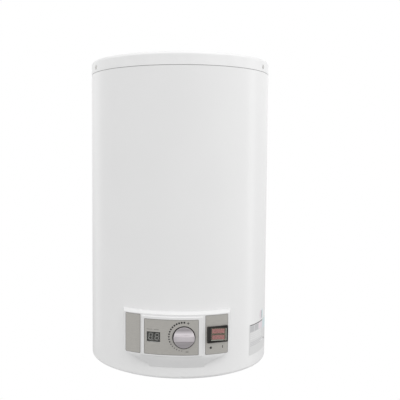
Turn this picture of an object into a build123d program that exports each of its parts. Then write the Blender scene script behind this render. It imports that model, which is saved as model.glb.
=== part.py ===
"""Wall-hung electric storage water heater, 30 litres, as an assembly of separate pieces.

Millimetres, +Z up. The row frame's origin lies on the wall plane, in the middle of the two
upper wall bolts, with the wall on the +Y side and the heater's front facing -Y.

Every piece is drawn in heater coordinates first: the tank's axis is the Z axis, the jacket's
lower edge is z = 0, and an azimuth counts from the front (-Y) towards +X. write() moves each
finished piece into the row frame.
"""

from build123d import *
from math import asin, cos, degrees, hypot, radians, sin, sqrt
import os

# ---------------------------------------------------------------- driving dimensions
JACKET_R = 175.0  # outer radius of the painted jacket
JACKET_T = 0.7
JACKET_H = 554.5  # lower edge to the seam under the cap
EDGE_R = 5.0  # bend at the jacket's lower edge
FLANGE_IN_R = 158.0  # inner radius of the jacket's turned-in lower flange
SEAM = 1.0  # height of the dark seam between jacket and cap
CAP_TOP = 579.0
CAP_T = 2.5
CAP_RIM_R = 5.5  # rounding of the cap's rim
CAP_SUNK = 4.0  # depth of the shallow dish in its top
CAP_DISH_R = (151.0, 157.0)  # the dish's slope runs between these radii
RING_LOW = 540.0  # the support ring under the cap
RING_HIGH = 571.0
RING_R = 172.1
RING_T = 1.2
WALL_GAP = 12.0  # jacket's back to the wall
BRACKET_Z = 440.0  # height of the upper wall bolts

TANK_R = 154.0
TANK_T = 1.8
TANK_LOW = 165.0  # the cylindrical part of the tank
TANK_HIGH = 495.0
DOME = 48.0  # depth of each domed end
KNUCKLE = 30.0  # radius of the dome's knuckle
FOAM_BOTTOM = 113.0
FOAM_TOP = 570.0
FOAM_STEP_R = 163.0  # the foam is narrower where the support ring sits
FOAM_STEP_Z = 538.0
BOSS_R = 8.0  # threaded bosses on the tank
BOSS_THREAD_R = 4.0

PIPE_X = 50.0  # pipes at +-PIPE_X, 100 mm apart
PIPE_Y = 35.0
PIPE_R = 10.65  # half-inch steel pipe
THREAD_R = 10.48  # its thread, over the crests
THREAD_L = 20.0
PIPE_BORE = 7.5
PIPE_END = -28.0
HOT_TOP = 137.0
RISER_R = 7.4  # the hot pipe's narrower riser inside the tank
RISER_BORE = 6.0
RISER_LOW = 121.0
RISER_TOP = 515.0
COLD_TOP = 150.0
DIFFUSER_R = 15.0
DIFFUSER_Z = (142.0, 172.0)
COLLAR_R = 18.0
COLLAR_T = 4.0
COLLAR_NECK_R = 11.9

PORT_Y = -25.0  # centre of the element's port in the lower dome
PORT_R = 31.0
NECK_R = 48.0
NECK_Z = 106.0
GASKET_T = 3.0
FLANGE_T = 5.0
FLANGE_BOLT_R = 39.0
FLANGE_BOLTS = 6
BOLT_HEAD_LOW = NECK_Z - GASKET_T - FLANGE_T - 5.3
ANODE_Y = PORT_Y + 18.0
ANODE_R = 10.5
ANODE_Z = (126.0, 306.0)
ANODE_STUD_R = 4.0
WELL_Y = PORT_Y - 18.0
WELL_R = 6.0
WELL_BORE = 5.2
WELL_Z = (92.0, 300.0)
LEG_X = 14.0  # the element's hairpin legs
LEG_R = 4.0
LEG_LOW = 84.0
LEG_TOP = 300.0
TAB_LOW = 68.0
THERMOSTAT_BULB = (-1.6, 3.0)  # x in the well, radius
CUTOUT_BULB = (3.4, 1.6)
BULB_LOW = 160.0
CAPILLARY_R = 0.8
WIRE_R = 1.3

# control panel: radii from the tank's axis
FRONT_R = 187.0  # face of the side fields
CENTRE_R = 189.0  # face of the raised centre field
WALL = 2.6  # the housing's wall
INLAY_T = 0.5
INLAY_GAP = 0.25
LEDGE_Z = 122.5  # where the top ledge meets the jacket
FACE_TOP = 119.0
FACE_LOW = 43.0
KEEL_Z = 20.5  # where the underside meets the jacket
LEFT_FIELD = (-29.4, -20.1)  # azimuth ranges of the three inlays
CENTRE_FIELD = (-17.6, 12.0)
RIGHT_FIELD = (15.9, 29.4)
SIDE_Z = (46.5, 117.0)
CENTRE_Z = (47.5, 110.6)
FIELDS = [
    (LEFT_FIELD, SIDE_Z, FRONT_R),
    (CENTRE_FIELD, CENTRE_Z, CENTRE_R),
    (RIGHT_FIELD, SIDE_Z, FRONT_R),
]
PAD_CHAMFER = 0.8  # edge of the raised centre field

KNOB_AZ = 4.1
KNOB_Z = 79.2
KNOB_R = 18.7
KNOB_FRONT = 199.0
SEAT_R = 20.3
SEAT_N = 185.5  # the seat's floor, from the tank's axis
SCOOP_R = 9.0  # the two finger scoops beside the grip bar
SCOOP_V = 13.4
SCOOP_DEPTH = 7.6
SHAFT_R = 3.0
SHAFT_BACK = 148.0

DISPLAY_AZ = -12.4
DISPLAY_Z = 78.8
LENS = (24.6, 18.0)
DIGIT_H = 13.2
DIGIT_W = 7.8
DIGIT_PITCH = 11.8
DIGIT_SLANT = 0.13
SEGMENT_T = 1.6

SWITCH_AZ = 22.9
SWITCH_Z = 82.3
BEZEL = (39.4, 29.3)
WELL = (36.0, 25.6)
BEZEL_FRONT = 189.4
BODY = (WELL[0] + 2.0, WELL[1] + 2.0)
PIN_R = 1.5
PIVOT_R = 184.8
PADDLE_END_R = 17.6
PADDLE_TOP = 5.4  # height of the paddle's ends over the pivot
PADDLE_DIP = 4.0  # and of its middle
DISH_R = (PADDLE_END_R**2 - PADDLE_TOP**2 + (PADDLE_TOP - PADDLE_DIP) ** 2) / 2 / (PADDLE_TOP - PADDLE_DIP)
DISH_N = PADDLE_DIP + DISH_R
WINDOW_U = (-12.0, 16.2)
WINDOW_HALF = 11.2
WINDOW_T = 1.2
WINDOW_PROUD = 0.4
LENS_U = (-9.6, 12.8)
LENS_V = 5.7
LENS_HALF = 3.8
LENS_T = 1.4
ROCKER_TILT = 10.0  # each way from the middle

PLATE_N = 155.0  # the inner mounting plate, square to the knob's axis
PLATE_T = 1.2
THERMOSTAT_BACK = 127.0
THERMOSTAT_SIZE = 38.0
THERMOSTAT_SCREW_U = 14.0
CUTOUT_BACK = 133.0
CUTOUT_U = -46.0
CUTOUT_V = 4.0
BUTTON_R = 3.0
BOSSES = [(-58.0, -27.0), (-58.0, 27.0), (26.0, -27.0), (26.0, 27.0)]

CAP_SCREW_AZ = (-64.0, 64.0, -116.0, 116.0)
CAP_SCREW_Z = 564.0
COVER_R = 167.0
COVER_T = 2.2
COVER_SCREW_R = 163.0
COVER_SCREW_AZ = (60.0, 180.0, 300.0)
TERMINAL_Y = 70.0
TERMINAL_X = (-13.0, 0.0, 13.0)
GLAND_Y = 105.0
GLAND_BORE = 4.5
GLAND_R = 8.0

BRACKET_BOLT_AZ = (168.0, 192.0)
BRACKET_H = 46.0
BRACKET_T = 3.0
EAR_X = (64.0, 116.0)
WALL_BOLT_X = 92.0
WALL_BOLT_R = 5.5
SPACER = (60.0, 22.0, 30.0)
SPACER_Z = 105.0

LABEL_AZ = (50.3, 80.5)
LABEL_Z = (24.5, 83.0)
LABEL_T = 0.2
BADGE_AZ = 67.5
BADGE_Z = 94.0
BADGE_R = 10.5

OUT = "parts"
AXIS_Y = -(JACKET_R + WALL_GAP)
TO_ROW = Pos(0, AXIS_Y, -BRACKET_Z)


# ---------------------------------------------------------------- drawing helpers
def turned(points, arc=360.0):
    """A closed (radius, height) outline turned about the tank's axis."""
    outline = make_face(Plane.XZ * Polyline(*points, close=True))
    return revolve(outline, axis=Axis.Z, revolution_arc=arc)


def sector(r0, r1, z0, z1, az0, az1):
    """Part of a ring between two azimuths."""
    piece = turned([(r0, z0), (r1, z0), (r1, z1), (r0, z1)], az1 - az0)
    return Rot(0, 0, az0 - 90) * piece


def facing(az, z, n=0.0):
    """Plane square to the radius at an azimuth: x to the right, y up, z outward."""
    a = radians(az)
    out = Vector(sin(a), -cos(a), 0)
    return Plane(origin=out * n + Vector(0, 0, z), x_dir=(cos(a), sin(a), 0), z_dir=out)


def box(place, u, v, n, size_u, size_v, size_n):
    """Box in a facing() plane, centred at (u, v), from n outward."""
    return place * Pos(u, v, n) * Box(
        size_u, size_v, size_n, align=(Align.CENTER, Align.CENTER, Align.MIN)
    )


def rod(place, u, v, n, radius, length):
    """Cylinder in a facing() plane, from n outward."""
    return place * Pos(u, v, n) * Cylinder(
        radius, length, align=(Align.CENTER, Align.CENTER, Align.MIN)
    )


def post(x, y, z, radius, length):
    """Upright cylinder from z upward."""
    return Pos(x, y, z) * Cylinder(
        radius, length, align=(Align.CENTER, Align.CENTER, Align.MIN)
    )


def hexagon(x, y, z, across_flats, length):
    """Upright hexagonal prism from z upward."""
    flat = RegularPolygon(across_flats / 2, 6, major_radius=False)
    return Pos(x, y, z) * extrude(flat, length)


def pan_screw(place, n, head_r, head_t, shank_r, length):
    """Cross-head screw: its head stands outward from n, its shank runs inward."""
    head = rod(place, 0, 0, n, head_r, head_t)
    head = fillet(head.edges().sort_by(Axis(place.origin, place.z_dir))[-1:], head_t * 0.45)
    long, short, deep = head_r * 1.1, head_r * 0.28, head_t * 0.5
    for size in ((long, short), (short, long)):
        head -= box(place, 0, 0, n + head_t - deep, size[0], size[1], deep + 1)
    return head + rod(place, 0, 0, n - length, shank_r, length)


def group(pieces):
    """Separate solids that share one node."""
    return Compound(children=[s for p in pieces for s in p.solids()])


def write(name, shape):
    moved = TO_ROW * shape
    export_step(moved, os.path.join(OUT, name + ".step"))


# ---------------------------------------------------------------- jacket and cap
def outer_jacket():
    bend = EDGE_R * (1 - sqrt(0.5))
    inner = EDGE_R - JACKET_T
    inner_bend = JACKET_T + inner * (1 - sqrt(0.5))
    r, t = JACKET_R, JACKET_T
    outline = [
        Line((FLANGE_IN_R, 0), (r - EDGE_R, 0)),
        ThreePointArc((r - EDGE_R, 0), (r - bend, bend), (r, EDGE_R)),
        Line((r, EDGE_R), (r, JACKET_H)),
        Line((r, JACKET_H), (r - t, JACKET_H)),
        Line((r - t, JACKET_H), (r - t, EDGE_R)),
        ThreePointArc((r - t, EDGE_R), (r - inner_bend, inner_bend), (r - EDGE_R, t)),
        Line((r - EDGE_R, t), (FLANGE_IN_R, t)),
        Line((FLANGE_IN_R, t), (FLANGE_IN_R, 0)),
    ]
    jacket = revolve(make_face(Plane.XZ * Curve(outline)), axis=Axis.Z)
    jacket -= sector(r - 6, r + 3, 46, 112, -24, 31)
    for az in BRACKET_BOLT_AZ:
        jacket -= rod(facing(az, BRACKET_Z), 0, 0, r - 5, 4.2, 10)
    for az in COVER_SCREW_AZ:
        a = radians(az)
        jacket -= post(COVER_SCREW_R * sin(a), -COVER_SCREW_R * cos(a), -2, 1.7, 6)
    return jacket


def top_cap():
    """Plastic cap: skirt flush with the jacket, a rounded rim and a shallow sunken top."""
    low, r, t, rim = JACKET_H + SEAM, JACKET_R, CAP_T, CAP_RIM_R
    bend = rim * (1 - sqrt(0.5))
    inner, outer = CAP_DISH_R
    dish = CAP_TOP - CAP_SUNK
    outline = [
        Line((r, low), (r, CAP_TOP - rim)),
        ThreePointArc((r, CAP_TOP - rim), (r - bend, CAP_TOP - bend), (r - rim, CAP_TOP)),
        Line((r - rim, CAP_TOP), (outer, CAP_TOP)),
        Line((outer, CAP_TOP), (inner, dish)),
        Line((inner, dish), (0, dish)),
        Line((0, dish), (0, dish - t)),
        Line((0, dish - t), (inner + 1, dish - t)),
        Line((inner + 1, dish - t), (outer + 1, CAP_TOP - t)),
        Line((outer + 1, CAP_TOP - t), (r - t - 0.1, CAP_TOP - t)),
        Line((r - t - 0.1, CAP_TOP - t), (r - t - 0.1, low)),
        Line((r - t - 0.1, low), (r, low)),
    ]
    cap = revolve(make_face(Plane.XZ * Curve(outline)), axis=Axis.Z)
    for az in CAP_SCREW_AZ:
        place = facing(az, CAP_SCREW_Z)
        cap -= rod(place, 0, 0, r - 1.2, 4.6, 5)
        cap -= rod(place, 0, 0, r - 6, 1.7, 8)
    return cap


def cap_support_ring():
    """Joggled steel ring, fixed inside the jacket's top, that the cap's screws bite into."""
    low_r, high_r, t = JACKET_R - JACKET_T - 0.05, RING_R, RING_T
    outside = [(low_r, RING_LOW), (low_r, JACKET_H - 3), (high_r, JACKET_H - 0.5), (high_r, RING_HIGH)]
    inside = [(r - t, z) for r, z in outside]
    inside[1] = (low_r - t, JACKET_H - 3.8)
    inside[2] = (high_r - t, JACKET_H - 1.3)
    ring = turned(outside + inside[::-1])
    for az in CAP_SCREW_AZ:
        ring -= rod(facing(az, CAP_SCREW_Z), 0, 0, high_r - 4, 1.4, 6)
    return ring


def cap_seal():
    inner, outer, low, high = RING_R + 0.2, JACKET_R - 0.6, JACKET_H, JACKET_H + SEAM
    return turned([(inner, low), (outer, low), (outer, high), (inner, high)])


def cap_screws():
    return group(
        pan_screw(facing(az, CAP_SCREW_Z), JACKET_R - 1.2, 2.9, 1.7, 1.3, 8) for az in CAP_SCREW_AZ
    )


# ---------------------------------------------------------------- tank and insulation
def vessel(r, low, high, depth, knuckle):
    """Solid of a cylinder with a torispherical dome at each end."""
    crown = ((r - knuckle) ** 2 + depth**2 - knuckle**2) / (2 * (depth - knuckle))
    centre = crown - depth  # how far the crown's centre lies behind the dome's base
    reach = hypot(r - knuckle, centre)
    out, up = (r - knuckle) / reach, centre / reach
    tangent = (r - knuckle + knuckle * out, knuckle * up)
    half = asin(up) / 2
    middle = (r - knuckle + knuckle * cos(half), knuckle * sin(half))
    crown_half = asin(tangent[0] / crown) / 2
    crown_middle = (crown * sin(crown_half), crown * cos(crown_half) - centre)

    def at(point, end):
        return (point[0], high + point[1]) if end > 0 else (point[0], low - point[1])

    outline = [
        Line((r, low), (r, high)),
        ThreePointArc((r, high), at(middle, 1), at(tangent, 1)),
        ThreePointArc(at(tangent, 1), at(crown_middle, 1), (0, high + depth)),
        Line((0, high + depth), (0, low - depth)),
        ThreePointArc((0, low - depth), at(crown_middle, -1), at(tangent, -1)),
        ThreePointArc(at(tangent, -1), at(middle, -1), (r, low)),
    ]
    return revolve(make_face(Plane.XZ * Curve(outline)), axis=Axis.Z)


def tank_outside(grow=0.0):
    return vessel(TANK_R + grow, TANK_LOW, TANK_HIGH, DOME + grow, KNUCKLE + grow)


def around_port(radius, count, start=30.0):
    """Points on a circle round the element's port."""
    for i in range(count):
        a = radians(start + 360.0 * i / count)
        yield radius * cos(a), PORT_Y + radius * sin(a)


def inner_tank():
    cavity = vessel(TANK_R - TANK_T, TANK_LOW, TANK_HIGH, DOME - TANK_T, KNUCKLE - TANK_T)
    tank = tank_outside() + post(0, PORT_Y, NECK_Z, NECK_R, 22)
    tank -= cavity
    tank -= post(0, PORT_Y, NECK_Z - 1, PORT_R, 40)
    for x in (-PIPE_X, PIPE_X):
        tank -= post(x, PIPE_Y, NECK_Z - 6, PIPE_R + 0.1, 60)
    for x, y in around_port(FLANGE_BOLT_R, FLANGE_BOLTS):
        tank -= post(x, y, NECK_Z - 1, 4.0, 11)
    return tank


def bracket_bosses():
    """Threaded bosses welded to the tank, which carry the wall bracket through the jacket."""
    bosses = []
    for az in BRACKET_BOLT_AZ:
        place = facing(az, BRACKET_Z)
        boss = rod(place, 0, 0, TANK_R - 3, BOSS_R, JACKET_R - JACKET_T - TANK_R + 2.5)
        boss -= tank_outside(0.02)
        bosses.append(boss - rod(place, 0, 0, TANK_R + 2, BOSS_THREAD_R, 30))
    return group(bosses)


def foam_insulation():
    r = JACKET_R - JACKET_T - 0.1
    wide = [(0, FOAM_BOTTOM), (r, FOAM_BOTTOM), (r, FOAM_STEP_Z)]
    narrow = [(FOAM_STEP_R, FOAM_STEP_Z), (FOAM_STEP_R, FOAM_TOP), (0, FOAM_TOP)]
    foam = turned(wide + narrow)
    foam -= tank_outside(0.1)
    foam -= post(0, PORT_Y, FOAM_BOTTOM - 1, NECK_R + 1, 30)
    for x in (-PIPE_X, PIPE_X):
        foam -= post(x, PIPE_Y, FOAM_BOTTOM - 1, PIPE_R + 0.5, 20)
    for az in BRACKET_BOLT_AZ:
        foam -= rod(facing(az, BRACKET_Z), 0, 0, TANK_R - 5, BOSS_R + 0.2, 40)
    return foam


# ---------------------------------------------------------------- water pipes
def spigot(x, top):
    """Solid pipe with its threaded end, which is a little smaller."""
    shoulder = PIPE_END + THREAD_L
    return post(x, PIPE_Y, PIPE_END, THREAD_R, THREAD_L) + post(x, PIPE_Y, shoulder, PIPE_R, top - shoulder)


def hot_outlet_pipe():
    """Threaded spigot, and the riser pushed into its bore, which draws from the top of the tank."""
    x = -PIPE_X
    pipe = spigot(x, HOT_TOP) - post(x, PIPE_Y, PIPE_END - 1, PIPE_BORE, HOT_TOP - PIPE_END + 2)
    riser = post(x, PIPE_Y, RISER_LOW, RISER_R, RISER_TOP - RISER_LOW)
    riser -= post(x, PIPE_Y, RISER_LOW - 1, RISER_BORE, RISER_TOP - RISER_LOW + 2)
    return pipe + riser


def cold_inlet_pipe():
    return spigot(PIPE_X, COLD_TOP) - post(PIPE_X, PIPE_Y, PIPE_END - 1, PIPE_BORE, 190)


def inlet_diffuser():
    """Cup over the cold pipe that spreads the incoming water sideways."""
    x, (low, high) = PIPE_X, DIFFUSER_Z
    cup = post(x, PIPE_Y, low, DIFFUSER_R, high - low) - post(x, PIPE_Y, low - 1, PIPE_R + 0.15, 10)
    cup -= post(x, PIPE_Y, low + 8, DIFFUSER_R - 2.5, high - low - 11)
    slot = Box(40, 5, 10)
    for turn in (0, 60, 120):
        cup -= Pos(x, PIPE_Y, low + 19) * Rot(0, 0, turn) * slot
    return cup


def collar(x):
    """Coloured rosette round a pipe, clipped into the bottom cover."""
    rosette = post(x, PIPE_Y, -COVER_T - COLLAR_T, COLLAR_R, COLLAR_T)
    rosette = chamfer(rosette.edges().group_by(Axis.Z)[0], 1.5)
    rosette += post(x, PIPE_Y, -COVER_T - 1, COLLAR_NECK_R, COVER_T + 1)
    return rosette - post(x, PIPE_Y, -20, PIPE_R + 0.3, 40)


# ---------------------------------------------------------------- element and its flange
def element_flange():
    top = NECK_Z - GASKET_T
    flange = post(0, PORT_Y, top - FLANGE_T, NECK_R, FLANGE_T)
    for x, y in around_port(FLANGE_BOLT_R, FLANGE_BOLTS):
        flange -= post(x, y, top - 20, 4.3, 30)
    through = [(-LEG_X, PORT_Y, LEG_R), (LEG_X, PORT_Y, LEG_R)]
    through += [(0, ANODE_Y, ANODE_STUD_R), (0, WELL_Y, WELL_R)]
    for x, y, r in through:
        flange -= post(x, y, top - 20, r + 0.15, 30)
    return flange


def flange_gasket():
    gasket = post(0, PORT_Y, NECK_Z - GASKET_T, NECK_R - 1, GASKET_T)
    gasket -= post(0, PORT_Y, NECK_Z - 10, PORT_R, 20)
    for x, y in around_port(FLANGE_BOLT_R, FLANGE_BOLTS):
        gasket -= post(x, y, NECK_Z - 10, 4.3, 20)
    return gasket


def flange_bolts():
    under = NECK_Z - GASKET_T - FLANGE_T
    bolts = []
    for x, y in around_port(FLANGE_BOLT_R, FLANGE_BOLTS):
        bolts.append(hexagon(x, y, BOLT_HEAD_LOW, 13, under - BOLT_HEAD_LOW) + post(x, y, under, 3.9, 17))
    return group(bolts)


def heating_element():
    """Hairpin of sheathed tube."""
    with BuildLine() as path:
        Line((-LEG_X, PORT_Y, LEG_LOW), (-LEG_X, PORT_Y, LEG_TOP))
        ThreePointArc((-LEG_X, PORT_Y, LEG_TOP), (0, PORT_Y, LEG_TOP + LEG_X), (LEG_X, PORT_Y, LEG_TOP))
        Line((LEG_X, PORT_Y, LEG_TOP), (LEG_X, PORT_Y, LEG_LOW))
    section = Plane(origin=(-LEG_X, PORT_Y, LEG_LOW), z_dir=(0, 0, 1)) * Circle(LEG_R)
    return sweep(section, path=path.line)


def terminal_insulators():
    return group(post(x, PORT_Y, LEG_LOW - 5, LEG_R + 0.6, 5) for x in (-LEG_X, LEG_X))


def element_terminals():
    return group(Pos(x, PORT_Y, TAB_LOW + 5.5) * Box(6.3, 0.8, 11) for x in (-LEG_X, LEG_X))


def magnesium_anode():
    low, high = ANODE_Z
    return post(0, ANODE_Y, low, ANODE_R, high - low) + post(0, ANODE_Y, low - 36, ANODE_STUD_R, 36)


def anode_nut():
    under = NECK_Z - GASKET_T - FLANGE_T
    return hexagon(0, ANODE_Y, under - 6, 13, 6) - post(0, ANODE_Y, under - 18, ANODE_STUD_R + 0.1, 30)


def sensor_well():
    low, high = WELL_Z
    well = post(0, WELL_Y, low, WELL_R, high - low) + Pos(0, WELL_Y, high) * Sphere(WELL_R)
    return well - post(0, WELL_Y, low - 1, WELL_BORE, high - low - 1)


# ---------------------------------------------------------------- control panel
def outline_block(top_half, low_half, shoulder, low, n0, n1, draft):
    """The panel's outline seen from the front, drawn as a block that narrows outward."""
    place = Plane(origin=(0, -n0, 0), x_dir=(1, 0, 0), z_dir=(0, -1, 0))
    corner = [
        (-top_half, 200), (-top_half, shoulder), (-low_half, low), (-low_half, -60),
        (low_half, -60), (low_half, low), (top_half, shoulder), (top_half, 200),
    ]
    face = make_face(Polyline(*corner, close=True))
    bends = [v for v in face.vertices() if abs(v.Y - shoulder) < 0.1]
    face = fillet(bends, 14)
    return extrude(place * face, n1 - n0, taper=draft)


def housing_ring(inset=0.0):
    """Turned block with the housing's section: ledge, upright face, long slope to the jacket."""
    front = FRONT_R - inset
    back = JACKET_R + 0.1
    face = [
        (front, FACE_TOP - inset),
        (front, FACE_LOW + inset * 0.4),
        (front - 1.4, FACE_LOW - 4 + inset * 0.5),
    ]
    if inset:
        low = KEEL_Z + 2 * inset
        ends = [(back, low), (160, low), (160, LEDGE_Z - inset)]
    else:
        ends = [(back, KEEL_Z), (back, LEDGE_Z)]
    return Rot(0, 0, -132) * turned(face + ends, 84)


def control_housing():
    """White moulding: three framed fields, a ledge on top, a keel below, hollow behind."""
    outer = housing_ring() & outline_block(99, 55, 46, 22, 135, 200, 9)
    z0, z1 = CENTRE_Z[0] - 3, CENTRE_Z[1] + 5
    pad = sector(FRONT_R - 3, CENTRE_R + 0.3, z0, z1, CENTRE_FIELD[0] - 1.6, CENTRE_FIELD[1] + 2.4)
    pad = chamfer(pad.faces().sort_by(SortBy.AREA)[-1].edges(), PAD_CHAMFER)
    inner = housing_ring(WALL) & outline_block(96.2, 52.5, 46, 25, 135, 200, 9)
    housing = (outer + pad) - inner
    place = facing(KNOB_AZ, KNOB_Z)
    for u, v in BOSSES:
        n = PLATE_N + PLATE_T + 0.05
        housing += rod(place, u, v, n, 4.0, sqrt((FRONT_R - 1.5) ** 2 - u * u) - n)
    for u, v in BOSSES:
        housing -= rod(place, u, v, PLATE_N, 1.5, 14)
    recess = INLAY_T + 0.05
    for (a0, a1), (low, high), face in FIELDS:
        gap = degrees(INLAY_GAP / face)
        housing -= sector(face - recess, face + 3, low - INLAY_GAP, high + INLAY_GAP, a0 - gap, a1 + gap)
    housing -= rod(place, 0, 0, SEAT_N - 0.05, SEAT_R + 0.1, 20)
    housing -= rod(place, 0, 0, 160, 7.0, 40)
    window = facing(DISPLAY_AZ, DISPLAY_Z)
    housing -= box(window, 0, 0, 170, LENS[0] + 0.2, LENS[1] + 0.2, 30)
    hole = facing(SWITCH_AZ, SWITCH_Z)
    housing -= box(hole, 0, 0, 160, BODY[0] + 0.3, BODY[1] + 0.3, 40)
    return housing


def inlay(field):
    """Thin metal-look plate that fills one field of the housing."""
    (a0, a1), (low, high), face = field
    plate = sector(face - INLAY_T, face, low, high, a0, a1)
    uprights = [e for e in plate.edges() if abs(e.length - INLAY_T) < 0.01]
    plate = fillet(uprights, 1.2)
    if field is FIELDS[1]:
        plate -= rod(facing(KNOB_AZ, KNOB_Z), 0, 0, 170, SEAT_R + 0.15, 30)
        plate -= box(facing(DISPLAY_AZ, DISPLAY_Z), 0, 0, 170, LENS[0] + 0.2, LENS[1] + 0.2, 30)
    if field is FIELDS[2]:
        plate -= box(facing(SWITCH_AZ, SWITCH_Z), 0, 0, 170, BODY[0] + 0.4, BODY[1] + 0.4, 30)
    return plate


def knob_seat():
    """Black dish that the knob turns in; its rim shows as a dark ring."""
    place = facing(KNOB_AZ, KNOB_Z)
    dish = rod(place, 0, 0, SEAT_N, SEAT_R, 3.4) - rod(place, 0, 0, SEAT_N + 1, SEAT_R - 1.0, 5)
    return dish - rod(place, 0, 0, 180, 6.3, 10)


def temperature_knob():
    """Round knob with a domed grip bar left standing between two scoops."""
    back, sag = SEAT_N + 1.3, 2.4
    rim, floor = KNOB_FRONT - sag, KNOB_FRONT - SCOOP_DEPTH
    dome = (KNOB_R**2 + sag**2) / (2 * sag)
    half = asin(KNOB_R / dome) / 2
    middle = (dome * sin(half), KNOB_FRONT - dome + dome * cos(half))
    outline = Curve(
        [
            Line((0, back), (KNOB_R, back)),
            Line((KNOB_R, back), (KNOB_R, rim)),
            ThreePointArc((KNOB_R, rim), middle, (0, KNOB_FRONT)),
            Line((0, KNOB_FRONT), (0, back)),
        ]
    )
    section = make_face(Plane.XZ * outline)
    section = fillet([v for v in section.vertices() if v.Z > back + 1 and v.X > 1], 1.8)
    knob = revolve(section, axis=Axis.Z)
    for side in (-1, 1):
        knob -= Pos(0, side * SCOOP_V, floor + SCOOP_R) * Rot(0, 90, 0) * Cylinder(SCOOP_R, 60)
        knob -= Pos(0, side * (SCOOP_V + 10), floor + 10) * Box(60, 20, 20)
    ridge = [e for e in knob.edges() if abs(e.center().Y) < 7 and e.center().Z > rim - 1 and e.length > 20]
    knob = fillet(ridge, 0.7)
    knob += Pos(0, 0, 180) * Cylinder(5.6, back - 180, align=(Align.CENTER, Align.CENTER, Align.MIN))
    knob -= Pos(0, 0, 175) * Cylinder(SHAFT_R + 0.02, 20, align=(Align.CENTER, Align.CENTER, Align.MIN))
    return facing(KNOB_AZ, KNOB_Z) * knob


def thermostat_shaft():
    place = facing(KNOB_AZ, KNOB_Z)
    return rod(place, 0, 0, SHAFT_BACK, SHAFT_R, 46)


def thermostat_body():
    place = facing(KNOB_AZ, KNOB_Z)
    body = box(place, 0, 0, THERMOSTAT_BACK, THERMOSTAT_SIZE, THERMOSTAT_SIZE, PLATE_N - THERMOSTAT_BACK)
    body = fillet(body.edges().filter_by(Axis(place.origin, place.z_dir)), 3)
    body += rod(place, 0, 0, PLATE_N, 5.0, 6)
    body -= rod(place, 0, 0, SHAFT_BACK - 2, SHAFT_R + 0.05, 30)
    for u in (-THERMOSTAT_SCREW_U, THERMOSTAT_SCREW_U):
        body -= rod(place, u, 0, PLATE_N - 8, 1.7, 10)
    return body


def thermostat_screws():
    screws = []
    for u in (-THERMOSTAT_SCREW_U, THERMOSTAT_SCREW_U):
        place = facing(KNOB_AZ, KNOB_Z)
        place = Plane(place.origin + place.x_dir * u, x_dir=place.x_dir, z_dir=place.z_dir)
        screws.append(pan_screw(place, PLATE_N + PLATE_T, 3.2, 1.8, 1.6, 7))
    return group(screws)


def control_plate():
    """Flat steel plate behind the housing that carries the thermostat and the cut-out."""
    place = facing(KNOB_AZ, KNOB_Z)
    plate = box(place, -15, 0, PLATE_N, 100, 62, PLATE_T)
    for u, v in BOSSES:
        plate -= rod(place, u, v, 150, 1.9, 10)
    plate -= rod(place, 0, 0, 150, 5.2, 10)
    for u in (-THERMOSTAT_SCREW_U, THERMOSTAT_SCREW_U):
        plate -= rod(place, u, 0, 150, 1.9, 10)
    return plate


def housing_screws():
    """Screws from behind, through the plate, into the housing's bosses."""
    place = facing(KNOB_AZ, KNOB_Z)
    screws = []
    for u, v in BOSSES:
        origin = place.origin + place.x_dir * u + Vector(0, 0, v)
        back = Plane(origin, x_dir=place.x_dir, z_dir=place.z_dir * -1)
        screws.append(pan_screw(back, -PLATE_N, 3.4, 2.0, 1.4, 11))
    return group(screws)


def thermal_cutout():
    """Safety cut-out on the plate, with its reset button underneath."""
    place = facing(KNOB_AZ, KNOB_Z)
    body = box(place, CUTOUT_U, CUTOUT_V, CUTOUT_BACK, 24, 30, PLATE_N - CUTOUT_BACK)
    x, y, low = button_place()
    return body - post(x, y, low - 1, BUTTON_R + 0.05, 10)


def button_place():
    place = facing(KNOB_AZ, KNOB_Z)
    centre = place.origin + place.x_dir * CUTOUT_U + place.z_dir * 144
    return centre.X, centre.Y, KNOB_Z + CUTOUT_V - 15


def reset_button():
    x, y, low = button_place()
    return post(x, y, low - 4, BUTTON_R, 10)


def sensor_bulbs():
    """The two liquid-filled bulbs, side by side in the well."""
    tops = (BULB_LOW + 110, BULB_LOW + 80)
    bulbs = zip((THERMOSTAT_BULB, CUTOUT_BULB), tops)
    return group(post(x, WELL_Y, BULB_LOW, radius, top - BULB_LOW) for (x, radius), top in bulbs)


def tube(points, radius, bends):
    """Tube of straight runs joined by tangent arcs."""
    start = Vector(*points[0])
    heading = Vector(*points[1]) - start
    route = FilletPolyline(*points, radius=bends)
    return sweep(Plane(origin=start, z_dir=heading) * Circle(radius), path=route)


def on_plate(u, v, n):
    """A point in the knob's frame: u to the right, v up, n outward."""
    place = facing(KNOB_AZ, KNOB_Z)
    point = place.origin + place.x_dir * u + Vector(0, 0, v) + place.z_dir * n
    return point.X, point.Y, point.Z


def sensor_capillaries():
    """Copper tubes from the bulbs, down out of the well and forward to the two instruments."""
    x, y = THERMOSTAT_BULB[0], WELL_Y
    first = [(x, y, BULB_LOW), (x, y, 60), (2, -74, 44)]
    first += [on_plate(0, -10, n) for n in (104, THERMOSTAT_BACK)]
    x = CUTOUT_BULB[0]
    u, v = CUTOUT_U + 6, CUTOUT_V - 4
    second = [(x, y, BULB_LOW), (x, y, 78), (-14, -78, 66)]
    second += [on_plate(u, v, n) for n in (108, CUTOUT_BACK)]
    return group([tube(first, CAPILLARY_R, [16, 13, 9]), tube(second, CAPILLARY_R, [14, 13, 9])])


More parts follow.
